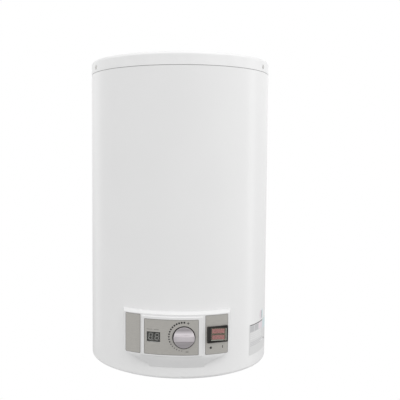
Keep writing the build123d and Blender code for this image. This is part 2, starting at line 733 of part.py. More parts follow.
def wiring():
    """Live, neutral, switched live and earth, from the terminal block to where each ends."""
    tap_y = TERMINAL_Y - 8
    left, middle, right = TERMINAL_X
    live = [
        (left, tap_y, 5), (left, 44, 5), (-30, 4, 20), (-62, -66, 44),
        on_plate(CUTOUT_U - 5, 0, 108), on_plate(CUTOUT_U - 5, 0, CUTOUT_BACK),
    ]
    neutral = [
        (middle, tap_y, 5), (middle, 40, 5), (24, 6, 28),
        (LEG_X, PORT_Y, 44), (LEG_X, PORT_Y, TAB_LOW),
    ]
    switched = [
        on_plate(-10, 8, THERMOSTAT_BACK), on_plate(-10, 8, 106), (-20, -62, 66),
        (-LEG_X, PORT_Y, 44), (-LEG_X, PORT_Y, TAB_LOW),
    ]
    bolt_x, bolt_y = 33.8, -5.5
    earth = [
        (right, tap_y, 5), (right, 46, 5), (36, 22, 40),
        (bolt_x, bolt_y, 68), (bolt_x, bolt_y, BOLT_HEAD_LOW),
    ]
    return group(
        [
            tube(live, WIRE_R, [12, 20, 20, 12]),
            tube(neutral, WIRE_R, [12, 14, 10]),
            tube(switched, WIRE_R, [10, 12, 8]),
            tube(earth, WIRE_R, [12, 18, 12]),
        ]
    )


# ---------------------------------------------------------------- display
def display_window():
    return box(facing(DISPLAY_AZ, DISPLAY_Z), 0, 0, 186.8, LENS[0], LENS[1], 1.5)


def display_module():
    return box(facing(DISPLAY_AZ, DISPLAY_Z), 0, 0, 178.0, LENS[0] - 0.4, LENS[1] - 0.4, 8.2)


def display_board():
    return box(facing(DISPLAY_AZ, DISPLAY_Z), 0, 0, 176.4, 42, 34, 1.6)


def segment(middle, u, v, upright):
    """One bar of a slanted digit, with pointed ends, lying on the module's face."""
    length = (DIGIT_H - SEGMENT_T) / 2 if upright else DIGIT_W - SEGMENT_T
    half, tip = length / 2 - 0.12, SEGMENT_T / 2
    upper = [(-half, 0), (-half + tip, tip), (half - tip, tip)]
    bar = upper + [(-x, -y) for x, y in upper]
    if upright:
        bar = [(-y, x) for x, y in bar]
    slanted = [(middle + u + x + (v + y) * DIGIT_SLANT, v + y) for x, y in bar]
    solid = extrude(make_face(Polyline(*slanted, close=True)), 0.25)
    return facing(DISPLAY_AZ, DISPLAY_Z, 186.2) * solid


def display_segments():
    """Two seven-segment digits, each with its point."""
    across, up = (DIGIT_W - SEGMENT_T) / 2, (DIGIT_H - SEGMENT_T) / 2
    bars = []
    for middle in (-DIGIT_PITCH / 2, DIGIT_PITCH / 2):
        bars += [segment(middle, 0, v, False) for v in (-up, 0, up)]
        bars += [segment(middle, u, v, True) for u in (-across, across) for v in (-up / 2, up / 2)]
        point = middle + DIGIT_W / 2 + 0.6
        bars.append(rod(facing(DISPLAY_AZ, DISPLAY_Z), point, -up, 186.2, SEGMENT_T / 2, 0.25))
    return group(bars)


# ---------------------------------------------------------------- rocker switch
def switch_frame():
    """Black bezel and body with the well that the paddle rocks in."""
    place = facing(SWITCH_AZ, SWITCH_Z)
    bezel = box(place, 0, 0, 184, BEZEL[0], BEZEL[1], BEZEL_FRONT - 184)
    bezel = fillet(bezel.edges().filter_by(Axis(place.origin, place.z_dir)), 1.4)
    bezel -= post(0, 0, 40, FRONT_R + 0.05, 90)
    body = box(place, 0, 0, 164, BODY[0], BODY[1], 187.5 - 164)
    frame = bezel + body
    frame -= box(place, 0, 0, 173, WELL[0], WELL[1], 30)
    pin = Pos(*(place.origin + place.z_dir * PIVOT_R)) * Cylinder(PIN_R + 0.05, 27)
    return frame - pin


def rocked(shape):
    """Places a paddle piece, drawn about the pivot in its middle pose, with its left end pressed in."""
    return facing(SWITCH_AZ, SWITCH_Z, PIVOT_R) * Rot(0, -ROCKER_TILT, 0) * shape


def dished(u0, u1, half_v, below, thick):
    """Plate that follows the paddle's dished top, from `below` under the top downward."""
    block = Pos((u0 + u1) / 2, 0, 0) * Box(u1 - u0, 2 * half_v, 20)
    lower = Pos(0, 0, DISH_N) * Rot(90, 0, 0) * Cylinder(DISH_R + below + thick, 60)
    upper = Pos(0, 0, DISH_N) * Rot(90, 0, 0) * Cylinder(DISH_R + below, 60)
    return (block & lower) - upper


def lens_plates():
    """The two red bars under the window."""
    for v in (-LENS_V, LENS_V):
        yield Pos(0, v, 0) * dished(LENS_U[0], LENS_U[1], LENS_HALF, WINDOW_T - WINDOW_PROUD, LENS_T)


def rocker_paddle():
    half = WELL[1] / 2 - 0.4
    end, low = PADDLE_END_R, -6.0
    edge_top, edge_low = sqrt(end**2 - PADDLE_TOP**2), sqrt(end**2 - low**2)
    outline = Curve(
        [
            ThreePointArc((edge_low, low), (end, 0), (edge_top, PADDLE_TOP)),
            ThreePointArc((edge_top, PADDLE_TOP), (0, PADDLE_DIP), (-edge_top, PADDLE_TOP)),
            ThreePointArc((-edge_top, PADDLE_TOP), (-end, 0), (-edge_low, low)),
            Line((-edge_low, low), (edge_low, low)),
        ]
    )
    paddle = extrude(make_face(Plane.XZ * outline), half, both=True)
    paddle -= Rot(90, 0, 0) * Cylinder(PIN_R + 0.01, 80)
    seat = WINDOW_T - WINDOW_PROUD
    paddle -= dished(WINDOW_U[0], WINDOW_U[1], WINDOW_HALF, -3, 3 + seat)
    for lens in lens_plates():
        paddle -= lens
    return rocked(paddle)


def rocker_window():
    """Clear plate over the two bars, standing a little proud of the paddle."""
    return rocked(dished(WINDOW_U[0], WINDOW_U[1], WINDOW_HALF, -WINDOW_PROUD, WINDOW_T))


def rocker_lenses():
    return rocked(group(lens_plates()))


def rocker_pin():
    place = facing(SWITCH_AZ, SWITCH_Z)
    return Pos(*(place.origin + place.z_dir * PIVOT_R)) * Cylinder(PIN_R, 26.8)


def switch_terminals():
    place = facing(SWITCH_AZ, SWITCH_Z)
    return group(box(place, u, v, 154, 0.8, 6.3, 10) for u in (-11, 11) for v in (-7, 7))


# ---------------------------------------------------------------- bottom cover and wiring entry
def bottom_cover():
    cover = post(0, 0, -COVER_T, COVER_R, COVER_T)
    cover = chamfer(cover.edges().group_by(Axis.Z)[0], 0.8)
    for x in (-PIPE_X, PIPE_X):
        cover -= post(x, PIPE_Y, -10, 12, 20)
    cover -= post(0, GLAND_Y, -10, GLAND_R + 0.2, 20)
    for az in COVER_SCREW_AZ:
        a = radians(az)
        cover -= post(COVER_SCREW_R * sin(a), -COVER_SCREW_R * cos(a), -10, 2.0, 20)
    return cover


def cover_screws():
    screws = []
    for az in COVER_SCREW_AZ:
        a = radians(az)
        place = Plane(
            (COVER_SCREW_R * sin(a), -COVER_SCREW_R * cos(a), -COVER_T), x_dir=(1, 0, 0), z_dir=(0, 0, -1)
        )
        screws.append(pan_screw(place, 0, 3.8, 2.2, 1.6, 10))
    return group(screws)


def cable_gland():
    body = hexagon(0, GLAND_Y, -COVER_T - 5, 22, 5) + post(0, GLAND_Y, -COVER_T - 1, GLAND_R, 16)
    body += post(0, GLAND_Y, -COVER_T - 12, GLAND_R, 8)
    return body - post(0, GLAND_Y, -40, GLAND_BORE + 0.4, 60)


def gland_nut():
    """Domed clamping nut; its mouth is the bore that takes the supply cable."""
    nut = hexagon(0, GLAND_Y, -20, 20, 12.7) & post(0, GLAND_Y, -20, 11, 12.7)
    nut -= post(0, GLAND_Y, -14.3, GLAND_R + 0.1, 20)
    return nut - post(0, GLAND_Y, -30, GLAND_BORE, 40)


def gland_locknut():
    return hexagon(0, GLAND_Y, 0.05, 22, 4) - post(0, GLAND_Y, -5, GLAND_R + 0.1, 20)


def terminal_block():
    block = Pos(0, TERMINAL_Y, 0) * Box(42, 16, 16, align=(Align.CENTER, Align.CENTER, Align.MIN))
    for x in TERMINAL_X:
        block -= post(x, TERMINAL_Y, 10, 3.0, 10)
    return block


def terminal_screws():
    return group(post(x, TERMINAL_Y, 10.02, 2.8, 4) for x in TERMINAL_X)


# ---------------------------------------------------------------- wall fixings

def upper_wall_bracket():
    """Saddle curved to the jacket, with a leg and an ear on each side that reach the wall."""
    z0, z1 = BRACKET_Z - BRACKET_H / 2, BRACKET_Z + BRACKET_H / 2
    inner = JACKET_R + 0.1
    back = JACKET_R + WALL_GAP
    reach = degrees(asin((EAR_X[0] + BRACKET_T) / (inner + BRACKET_T)))
    bracket = sector(inner, inner + BRACKET_T, z0, z1, 180 - reach, 180 + reach)
    foot = sqrt((inner + 0.6) ** 2 - EAR_X[0] ** 2)
    middle = Align.CENTER, Align.MIN, Align.CENTER
    for side in (-1, 1):
        leg = Box(BRACKET_T, back - foot, BRACKET_H, align=middle)
        bracket += Pos(side * (EAR_X[0] + BRACKET_T / 2), foot, BRACKET_Z) * leg
        ear = Box(EAR_X[1] - EAR_X[0], BRACKET_T, BRACKET_H, align=middle)
        ear = Pos(side * sum(EAR_X) / 2, back - BRACKET_T, BRACKET_Z) * ear
        bracket += ear
    for side in (-1, 1):
        hole = Rot(90, 0, 0) * Cylinder(WALL_BOLT_R, 20)
        bracket -= Pos(side * WALL_BOLT_X, back, BRACKET_Z) * hole
    for az in BRACKET_BOLT_AZ:
        bracket -= rod(facing(az, BRACKET_Z), 0, 0, inner - 5, 4.2, 20)
    return bracket


def bracket_bolts():
    bolts = []
    for az in BRACKET_BOLT_AZ:
        place = facing(az, BRACKET_Z)
        seat = JACKET_R + 0.1 + BRACKET_T + 0.35
        head = place * Pos(0, 0, seat) * extrude(RegularPolygon(6.5, 6, major_radius=False), 5)
        bolts.append(head + rod(place, 0, 0, seat - 18, 3.9, 18))
    return group(bolts)


def lower_spacer():
    """Block that keeps the heater's foot off the wall, hollowed to the jacket."""
    back = JACKET_R + WALL_GAP
    block = Pos(0, back, SPACER_Z) * Box(*SPACER, align=(Align.CENTER, Align.MAX, Align.CENTER))
    return block - post(0, 0, 80, JACKET_R + 0.05, 60)


# ---------------------------------------------------------------- labels

def rating_label():
    back = JACKET_R + 0.02
    label = sector(back, back + LABEL_T, LABEL_Z[0], LABEL_Z[1], *LABEL_AZ)
    return fillet([e for e in label.edges() if abs(e.length - LABEL_T) < 0.01], 2.0)


def badge_label():
    """Round sticker above the rating label."""
    back = JACKET_R + 0.02
    disc = rod(facing(BADGE_AZ, BADGE_Z), 0, 0, JACKET_R - 10, BADGE_R, 20)
    return sector(back, back + LABEL_T, BADGE_Z - 20, BADGE_Z + 20, BADGE_AZ - 10, BADGE_AZ + 10) & disc


# ---------------------------------------------------------------- writing the pieces
def build():
    os.makedirs(OUT, exist_ok=True)
    pieces = {
        "outer_jacket": outer_jacket(),
        "top_cap": top_cap(),
        "cap_support_ring": cap_support_ring(),
        "cap_seal": cap_seal(),
        "cap_screws": cap_screws(),
        "inner_tank": inner_tank(),
        "foam_insulation": foam_insulation(),
        "bracket_bosses": bracket_bosses(),
        "hot_outlet_pipe": hot_outlet_pipe(),
        "cold_inlet_pipe": cold_inlet_pipe(),
        "inlet_diffuser": inlet_diffuser(),
        "hot_collar": collar(-PIPE_X),
        "cold_collar": collar(PIPE_X),
        "element_flange": element_flange(),
        "flange_gasket": flange_gasket(),
        "flange_bolts": flange_bolts(),
        "heating_element": heating_element(),
        "terminal_insulators": terminal_insulators(),
        "element_terminals": element_terminals(),
        "magnesium_anode": magnesium_anode(),
        "anode_nut": anode_nut(),
        "sensor_well": sensor_well(),
        "sensor_bulbs": sensor_bulbs(),
        "sensor_capillaries": sensor_capillaries(),
        "wiring": wiring(),
        "control_housing": control_housing(),
        "left_inlay": inlay(FIELDS[0]),
        "centre_inlay": inlay(FIELDS[1]),
        "right_inlay": inlay(FIELDS[2]),
        "knob_seat": knob_seat(),
        "temperature_knob": temperature_knob(),
        "thermostat_shaft": thermostat_shaft(),
        "thermostat_body": thermostat_body(),
        "thermostat_screws": thermostat_screws(),
        "control_plate": control_plate(),
        "housing_screws": housing_screws(),
        "thermal_cutout": thermal_cutout(),
        "reset_button": reset_button(),
        "display_window": display_window(),
        "display_module": display_module(),
        "display_board": display_board(),
        "display_segments": display_segments(),
        "switch_frame": switch_frame(),
        "rocker_paddle": rocker_paddle(),
        "rocker_window": rocker_window(),
        "rocker_lenses": rocker_lenses(),
        "rocker_pin": rocker_pin(),
        "switch_terminals": switch_terminals(),
        "bottom_cover": bottom_cover(),
        "cover_screws": cover_screws(),
        "cable_gland": cable_gland(),
        "gland_nut": gland_nut(),
        "gland_locknut": gland_locknut(),
        "terminal_block": terminal_block(),
        "terminal_screws": terminal_screws(),
        "upper_wall_bracket": upper_wall_bracket(),
        "bracket_bolts": bracket_bolts(),
        "lower_spacer": lower_spacer(),
        "rating_label": rating_label(),
        "badge_label": badge_label(),
    }
    for name, shape in pieces.items():
        write(name, shape)


build()
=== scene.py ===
import bmesh
import bpy
from math import atan2, cos, hypot, pi, radians, sin
from mathutils import Matrix, Vector


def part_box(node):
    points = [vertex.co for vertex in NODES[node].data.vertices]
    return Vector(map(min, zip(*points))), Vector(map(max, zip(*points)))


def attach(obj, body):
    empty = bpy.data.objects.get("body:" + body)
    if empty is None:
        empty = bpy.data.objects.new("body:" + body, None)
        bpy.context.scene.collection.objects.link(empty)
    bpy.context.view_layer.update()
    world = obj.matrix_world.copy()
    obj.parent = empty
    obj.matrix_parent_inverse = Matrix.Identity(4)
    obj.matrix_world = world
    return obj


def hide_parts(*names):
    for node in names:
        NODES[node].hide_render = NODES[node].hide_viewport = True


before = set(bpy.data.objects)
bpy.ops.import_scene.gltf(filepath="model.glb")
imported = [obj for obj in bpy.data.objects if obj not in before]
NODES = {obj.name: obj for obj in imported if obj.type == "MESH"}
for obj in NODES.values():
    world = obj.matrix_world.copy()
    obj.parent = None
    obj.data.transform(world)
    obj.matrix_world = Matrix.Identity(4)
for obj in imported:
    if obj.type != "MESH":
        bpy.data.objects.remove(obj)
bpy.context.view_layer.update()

# The tank's axis meets the jacket's lower edge here; heights and radii below are measured from it.
jacket_low, jacket_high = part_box("outer_jacket")
AXIS = Vector(((jacket_low[0] + jacket_high[0]) / 2, (jacket_low[1] + jacket_high[1]) / 2, jacket_low[2]))
JACKET_R = (jacket_high[0] - jacket_low[0]) / 2
JACKET_H = jacket_high[2] - jacket_low[2]


def at(azimuth, height, radius):
    """A point from its azimuth in degrees round the tank (0 is the front), height and radius in metres."""
    turn = radians(azimuth)
    return AXIS + Vector((radius * sin(turn), -radius * cos(turn), height))


# ---------------------------------------------------------------- materials

COAT_ROUGH = 0.12


class Surface:
    """A Principled material with helpers that add procedural detail to it."""

    def __init__(self, name, colour, rough, metal=0.0, coat=0.0):
        self.material = bpy.data.materials.new(name)
        self.material.use_nodes = True
        self.tree = self.material.node_tree
        self.shader = self.tree.nodes["Principled BSDF"]
        self.shader.inputs["Base Color"].default_value = (*colour, 1)
        self.shader.inputs["Roughness"].default_value = rough
        self.shader.inputs["Metallic"].default_value = metal
        self.shader.inputs["Coat Weight"].default_value = coat
        self.shader.inputs["Coat Roughness"].default_value = COAT_ROUGH
        self.colour = colour
        self.place = self.tree.nodes.new("ShaderNodeTexCoord").outputs["Object"]

    def stretched(self, scale):
        mapping = self.tree.nodes.new("ShaderNodeMapping")
        mapping.inputs["Scale"].default_value = scale
        self.tree.links.new(self.place, mapping.inputs["Vector"])
        return mapping.outputs["Vector"]

    def noise(self, scale, detail, stretch=(1, 1, 1)):
        texture = self.tree.nodes.new("ShaderNodeTexNoise")
        texture.inputs["Scale"].default_value = scale
        texture.inputs["Detail"].default_value = detail
        self.tree.links.new(self.stretched(stretch), texture.inputs["Vector"])
        return texture.outputs["Fac"]

    def along(self, direction):
        """The distance from the frame's origin along a direction."""
        node = self.tree.nodes.new("ShaderNodeVectorMath")
        node.operation = "DOT_PRODUCT"
        node.inputs[1].default_value = direction
        self.tree.links.new(self.place, node.inputs[0])
        return node.outputs["Value"]

    def spread(self, value, low, high, start=0.3, end=0.7):
        """A value that runs from low to high as the texture runs from start to end."""
        node = self.tree.nodes.new("ShaderNodeMapRange")
        node.inputs["From Min"].default_value = start
        node.inputs["From Max"].default_value = end
        node.inputs["To Min"].default_value = low
        node.inputs["To Max"].default_value = high
        self.tree.links.new(value, node.inputs["Value"])
        return node.outputs["Result"]

    def mottle(self, value, other):
        """Blends the base colour towards another one where the value is high."""
        mix = self.tree.nodes.new("ShaderNodeMix")
        mix.data_type = "RGBA"
        socket = self.shader.inputs["Base Color"]
        if socket.is_linked:
            self.tree.links.new(socket.links[0].from_socket, mix.inputs[6])
        else:
            mix.inputs[6].default_value = (*self.colour, 1)
        mix.inputs[7].default_value = (*other, 1)
        self.tree.links.new(value, mix.inputs[0])
        self.tree.links.new(mix.outputs[2], socket)
        return self

    def uneven(self, value, low, high):
        """Lets the roughness run from low to high with a texture."""
        self.tree.links.new(self.spread(value, low, high, 0, 1), self.shader.inputs["Roughness"])
        return self

    def bump(self, value, depth, strength):
        """Raises the surface by a texture, depth metres high, over any bump that it already has."""
        node = self.tree.nodes.new("ShaderNodeBump")
        node.inputs["Strength"].default_value = strength
        node.inputs["Distance"].default_value = depth
        self.tree.links.new(value, node.inputs["Height"])
        socket = self.shader.inputs["Normal"]
        if socket.is_linked:
            self.tree.links.new(socket.links[0].from_socket, node.inputs["Normal"])
        self.tree.links.new(node.outputs["Normal"], socket)
        return self


def shade(colour, factor):
    return tuple(min(1, channel * factor) for channel in colour)


def painted(name, colour, rough, peel=0.00003):
    """Stoved enamel on sheet steel: a fine orange peel and a slow drift in gloss."""
    paint = Surface(name, colour, rough, coat=0.25)
    paint.mottle(paint.spread(paint.noise(9, 3), 0, 1), shade(colour, 0.985))
    paint.uneven(paint.noise(40, 3), rough * 0.9, rough * 1.15)
    paint.bump(paint.noise(420, 2), peel, 0.35)
    return paint.material


def moulded(name, colour, rough, grain=900, depth=0.00002, coat=0.0):
    """Injection-moulded plastic: a fine spark texture and slight flow marks."""
    plastic = Surface(name, colour, rough, coat=coat)
    plastic.mottle(plastic.spread(plastic.noise(25, 2), 0, 1), shade(colour, 0.97))
    plastic.uneven(plastic.noise(120, 3), rough * 0.88, rough * 1.15)
    plastic.bump(plastic.noise(grain, 2), depth, 0.4)
    return plastic.material


def metallic(name, colour, rough, stain, grain=300, depth=0.00003, stretch=(1, 1, 1)):
    """Bare or plated metal with a grain and patches of dull bloom."""
    metal = Surface(name, colour, rough, metal=1.0)
    metal.mottle(metal.spread(metal.noise(28, 3), 0, 0.45, 0.4, 0.8), stain)
    metal.uneven(metal.noise(grain, 3, stretch), rough * 0.75, rough * 1.3)
    metal.bump(metal.noise(grain * 2, 2, stretch), depth, 0.35)
    return metal.material


def brushed(name, colour, rough):
    """Silver printed foil with a fine sand grain over short level brush lines."""
    foil = Surface(name, colour, rough, metal=0.55)
    foil.mottle(foil.spread(foil.noise(900, 2, (0.16, 0.16, 2.6)), 0, 1), shade(colour, 0.84))
    foil.mottle(foil.spread(foil.noise(2600, 1), 0, 0.35), shade(colour, 1.18))
    foil.uneven(foil.noise(700, 2, (0.2, 0.2, 3)), rough * 0.85, rough * 1.2)
    foil.bump(foil.noise(1500, 2, (0.1, 0.1, 2)), 0.00001, 0.3)
    return foil.material


def satin(name, colour, rough, outward, shaded_depths):
    """Metallic lacquer with a fine flake, and painted shade that darkens its colour between two depths along
    outward.
    """
    lacquer = Surface(name, colour, rough, metal=0.5, coat=0.35)
    lacquer.mottle(lacquer.spread(lacquer.noise(2600, 1), 0, 1), shade(colour, 0.93))
    # Painted shade: the colour falls towards 0.6 of itself deep in the scoops.
    lacquer.mottle(lacquer.spread(lacquer.along(outward), 1.0, 0, *shaded_depths), shade(colour, 0.6))
    lacquer.uneven(lacquer.noise(400, 2), rough * 0.85, rough * 1.2)
    lacquer.bump(lacquer.noise(1800, 1), 0.000006, 0.3)
    return lacquer.material


WHITE = (0.80, 0.80, 0.80)
PLASTIC = (0.755, 0.755, 0.755)
FOIL = (0.505, 0.49, 0.46)

LOOKS = {
    "white_paint": painted("stoved_white_paint", WHITE, 0.30),
    "white_plastic": moulded("white_plastic", PLASTIC, 0.34),
    "silver_foil": brushed("silver_foil", FOIL, 0.42),
    "black_rubber": moulded("black_rubber", (0.02, 0.02, 0.021), 0.7, 600, 0.00005),
    "zinc_steel": metallic("zinc_plated_steel", (0.66, 0.66, 0.64), 0.34, (0.5, 0.49, 0.44)),
    "tank_enamel": painted("tank_enamel", (0.10, 0.14, 0.2), 0.25, 0.00006),
    "foam": moulded("polyurethane_foam", (0.72, 0.6, 0.32), 0.9, 350, 0.0004),
    "pipe_steel": metallic("threaded_pipe_steel", (0.58, 0.57, 0.55), 0.36, (0.36, 0.34, 0.31)),
    "red_plastic": moulded("red_plastic", (0.5, 0.02, 0.02), 0.4),
    "blue_plastic": moulded("blue_plastic", (0.015, 0.07, 0.42), 0.4),
    "element_sheath": metallic("element_sheath", (0.5, 0.44, 0.36), 0.38, (0.25, 0.2, 0.16)),
    "magnesium": metallic("cast_magnesium", (0.62, 0.62, 0.6), 0.6, (0.42, 0.42, 0.4), 200, 0.0001),
    "copper": metallic("drawn_copper", (0.75, 0.36, 0.2), 0.3, (0.4, 0.2, 0.12)),
    "insulator": moulded("ceramic_insulator", (0.75, 0.72, 0.66), 0.4),
    "black_plastic": moulded("black_plastic", (0.015, 0.013, 0.012), 0.40),
    "display_body": moulded("display_body", (0.060, 0.060, 0.054), 0.45),
    "segment": moulded("display_segment", (0.43, 0.43, 0.41), 0.5),
    "board": moulded("circuit_board", (0.02, 0.16, 0.06), 0.45),
    "lens_red": moulded("lens_red", (0.79, 0.235, 0.30), 0.3, coat=0.5),
    "red_button": moulded("red_button", (0.55, 0.03, 0.02), 0.35),
    "wire_sheath": moulded("wire_sheath", (0.3, 0.13, 0.06), 0.5),
    "white_foil": moulded("white_foil", (0.67, 0.67, 0.67), 0.42),
    "paper_label": moulded("paper_label", (0.85, 0.83, 0.84), 0.5),
}


def clear(name, colour, alpha, rough):
    plastic = Surface(name, colour, rough, coat=0.3)
    plastic.shader.inputs["Alpha"].default_value = alpha
    plastic.mottle(plastic.spread(plastic.noise(60, 2), 0, 1), shade(colour, 0.85))
    plastic.uneven(plastic.noise(150, 2), rough * 0.8, rough * 1.3)
    return plastic.material


# Painted shade darkens the knob's colour inside its two finger scoops, standing in for the grip bar's shadow:
# depths below the crest of its grip bar.
knob_low, knob_high = (Vector(corner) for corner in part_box("temperature_knob"))
knob_face = (knob_low + knob_high) / 2 - AXIS
knob_outward = Vector((knob_face.x, knob_face.y, 0)).normalized()
knob_crest = max(vertex.co.dot(knob_outward) for vertex in NODES["temperature_knob"].data.vertices)
SCOOP_DEEP = 0.0065
SCOOP_SHALLOW = 0.0005
LOOKS["knob_metal"] = satin("knob_satin_lacquer_painted_shade", (0.685, 0.64, 0.668), 0.30, knob_outward,
                            (knob_crest - SCOOP_DEEP, knob_crest - SCOOP_SHALLOW))

LOOKS["clear_plastic"] = clear("smoked_window", (0.12, 0.12, 0.115), 0.18, 0.12)

for node in NODES.values():
    for index, material in enumerate(node.data.materials):
        node.data.materials[index] = LOOKS[material.name]

# Nodes that share a slot but look a little different from it.
NODES["rocker_window"].data.materials[0] = clear("tinted_window", (0.30, 0.25, 0.19), 0.38, 0.1)
NODES["cap_seal"].data.materials[0] = moulded("grey_rubber", (0.34, 0.34, 0.34), 0.6, 600, 0.00004)
NODES["top_cap"].data.materials[0] = moulded("cap_plastic", (0.84, 0.84, 0.84), 0.34)

# Moulded and stamped parts get the small radius that their tools leave on every edge.
EDGE_RADII = {
    "control_housing": 0.0007,
    "knob_seat": 0.0002,
    "switch_frame": 0.0004,
    "lower_spacer": 0.0008,
    "rocker_paddle": 0.0003,
    "upper_wall_bracket": 0.0006,
    "rocker_window": 0.0002,
    "gland_nut": 0.0004,
    "cable_gland": 0.0003,
}
WELD_GAP = 0.00001
EDGE_ANGLE = radians(32)
for name, radius in EDGE_RADII.items():
    weld = NODES[name].modifiers.new("joined", "WELD")
    weld.merge_threshold = WELD_GAP
    soft = NODES[name].modifiers.new("soft_edges", "BEVEL")
    soft.width = radius
    soft.segments = 2
    soft.limit_method = "ANGLE"
    soft.angle_limit = EDGE_ANGLE
    soft.harden_normals = False
    NODES[name].modifiers.new("normals", "WEIGHTED_NORMAL").keep_sharp = True

INK_GRAIN = 2500


def ink(name, colour, rough):
    """A flat printed colour."""
    return moulded(name, colour, rough, INK_GRAIN)


INK = ink("black_ink", (0.014, 0.013, 0.013), 0.5)
GREY_INK = ink("grey_ink", (0.16, 0.15, 0.15), 0.5)
PALE_INK = ink("pale_ink", (0.78, 0.78, 0.78), 0.5)
SILVER_INK = ink("silver_ink", (0.50, 0.50, 0.51), 0.45)
DROP_INK = ink("drop_ink", (0.25, 0.25, 0.26), 0.45)
PINK_INK = ink("pink_ink", (0.73, 0.66, 0.70), 0.5)
CYAN_INK = ink("cyan_ink", (0.61, 0.72, 0.74), 0.5)


# ---------------------------------------------------------------- printed marks and other fine pieces

def finished(form, name, material, smooth=True, body="case"):
    """Makes an object of a bmesh, hangs it on its body and returns it."""
    bmesh.ops.recalc_face_normals(form, faces=form.faces)
    mesh = bpy.data.meshes.new(name)
    form.to_mesh(mesh)
    form.free()
    mesh.materials.append(material)
    for face in mesh.polygons:
        face.use_smooth = smooth
    piece = bpy.data.objects.new(name, mesh)
    bpy.context.collection.objects.link(piece)
    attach(piece, body)
    return piece


MARK_T = 0.00006  # half the thickness of a printed mark
STEP = 0.0015
DISC_SIDES = 20
BAND_STEPS = 24
DROP_SIDES = 28


def divided(outline):
    """The outline with its long level edges cut into short steps, so that it can bend round the tank."""
    points = []
    for (u0, v0), (u1, v1) in zip(outline, outline[1:] + outline[:1]):
        count = max(1, round(abs(u1 - u0) / STEP))
        points += [(u0 + (u1 - u0) * i / count, v0 + (v1 - v0) * i / count) for i in range(count)]
    return points


def mark(form, outline, azimuth, height, radius):
    """Adds a thin solid with this outline, in metres along and up the curved face, lying on it."""
    points = divided(outline)
    rings = []
    for depth in (-MARK_T, MARK_T):
        rings.append([form.verts.new(at(azimuth + u / radius * 180 / pi, height + v, radius + depth))
                      for u, v in points])
    for i in range(len(points)):
        j = (i + 1) % len(points)
        form.faces.new((rings[0][i], rings[0][j], rings[1][j], rings[1][i]))
    for ring in rings:
        bmesh.ops.triangulate(form, faces=[form.faces.new(ring)])


def bar(u, v, wide, tall):
    """A rectangle centred on u, v."""
    return [(u - wide / 2, v - tall / 2), (u + wide / 2, v - tall / 2),
            (u + wide / 2, v + tall / 2), (u - wide / 2, v + tall / 2)]


def disc(u, v, radius):
    turns = [2 * pi * i / DISC_SIDES for i in range(DISC_SIDES)]
    return [(u + radius * cos(turn), v + radius * sin(turn)) for turn in turns]


def ring_part(u, v, inner, outer, start, end):
    """A band of a ring from start to end degrees, counter-clockwise from the right."""
    turns = [radians(start + (end - start) * i / BAND_STEPS) for i in range(BAND_STEPS + 1)]
    return ([(u + outer * cos(t), v + outer * sin(t)) for t in turns]
            + [(u + inner * cos(t), v + inner * sin(t)) for t in reversed(turns)])


def drop(u, v, wide, tall):
    """A water drop with its point upwards."""
    points = []
    for i in range(DROP_SIDES):
        turn = 2 * pi * i / DROP_SIDES
        points.append((u + wide / 2 * sin(turn) * sin(turn / 2) ** 1.3, v + tall / 2 * cos(turn)))
    return points


def polar(node):
    """A node's azimuths and heights (lowest, highest) and its largest radius round the tank."""
    places = [vertex.co - AXIS for vertex in NODES[node].data.vertices]
    turns = [atan2(place.x, -place.y) * 180 / pi for place in places]
    heights = [place.z for place in places]
    radii = [hypot(place.x, place.y) for place in places]
    return min(turns), max(turns), min(heights), max(heights), max(radii)


centre = polar("centre_inlay")
knob = polar("knob_seat")
switch = polar("switch_frame")
window = polar("display_window")
label = polar("rating_label")
badge = polar("badge_label")
FACE_R = centre[4]
SIDE_R = polar("right_inlay")[4]
LABEL_R = label[4]


def middle(extent):
    return (extent[0] + extent[1]) / 2, (extent[2] + extent[3]) / 2


# The dial: eighteen dots that shrink from hot to cool, with a plus and a minus at its ends.
DOTS = 18
DARK_DOTS = 12
DIAL_R = 0.0254
DIAL_SHIFT = (-0.0012, 0.0014)
FIRST_DOT = 86
LAST_DOT = 264
BIG_DOT = 0.00178
SMALL_DOT = 0.0009
knob_turn, knob_height = middle(knob)
dot_groups = (("dial_dots_hot", INK, 0, DARK_DOTS), ("dial_dots_cool", GREY_INK, DARK_DOTS, DOTS))
for name, tone, first, last in dot_groups:
    form = bmesh.new()
    for i in range(first, last):
        share = i / (DOTS - 1)
        turn = radians(FIRST_DOT + (LAST_DOT - FIRST_DOT) * share)
        size = BIG_DOT + (SMALL_DOT - BIG_DOT) * share ** 1.5
        mark(form, disc(DIAL_SHIFT[0] + DIAL_R * cos(turn), DIAL_SHIFT[1] + DIAL_R * sin(turn), size),
             knob_turn, knob_height, FACE_R)
    finished(form, name, tone, smooth=False)

SIGN_LINE = 0.0009
PLUS_AT = (0.0075, 0.0253)
PLUS_ARM = 0.0016
PLUS_WIDE = 0.0044
MINUS_AT = (0.0055, -0.0255)
MINUS_WIDE = 0.0048
form = bmesh.new()
mark(form, bar(*PLUS_AT, PLUS_WIDE, SIGN_LINE), knob_turn, knob_height, FACE_R)
for side in (1, -1):
    rise = side * (SIGN_LINE + PLUS_ARM) / 2
    mark(form, bar(PLUS_AT[0], PLUS_AT[1] + rise, SIGN_LINE, PLUS_ARM), knob_turn, knob_height, FACE_R)
mark(form, bar(*MINUS_AT, MINUS_WIDE, SIGN_LINE), knob_turn, knob_height, FACE_R)
finished(form, "dial_ends", INK, smooth=False)
